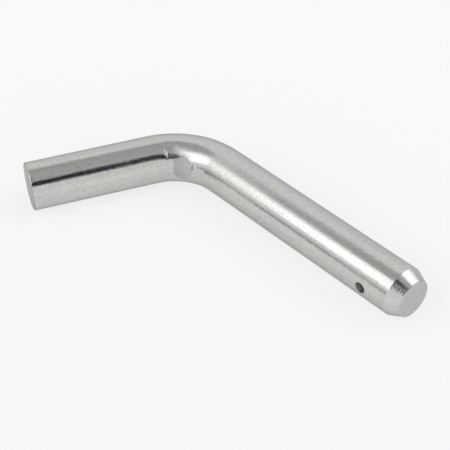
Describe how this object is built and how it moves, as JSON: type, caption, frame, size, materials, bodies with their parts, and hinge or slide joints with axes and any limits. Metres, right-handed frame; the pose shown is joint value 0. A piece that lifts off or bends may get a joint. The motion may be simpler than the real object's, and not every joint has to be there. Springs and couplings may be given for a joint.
{
  "type": "bent hitch pin",
  "caption": "Round steel hitch pin with a bent handle leg, a cross-drilled hole for a spring clip and a tapered tip.",
  "frame": {"origin": "on the shank's axis, where the straight shank leaves the bend", "axes": "+X along the shank towards the tip, +Z square to the plane of the bend, and the handle leg turns away towards -X and -Y"},
  "size_m": [0.1258, 0.062, 0.0158],
  "materials": {
    "zinc_plated_steel": "bright clear zinc plating on drawn bar, semi-gloss, with fine lengthwise draw lines, a turned tip and handling scratches"
  },
  "bodies": {
    "root": {"bent_pin": "zinc_plated_steel"}
  },
  "joints": []
}
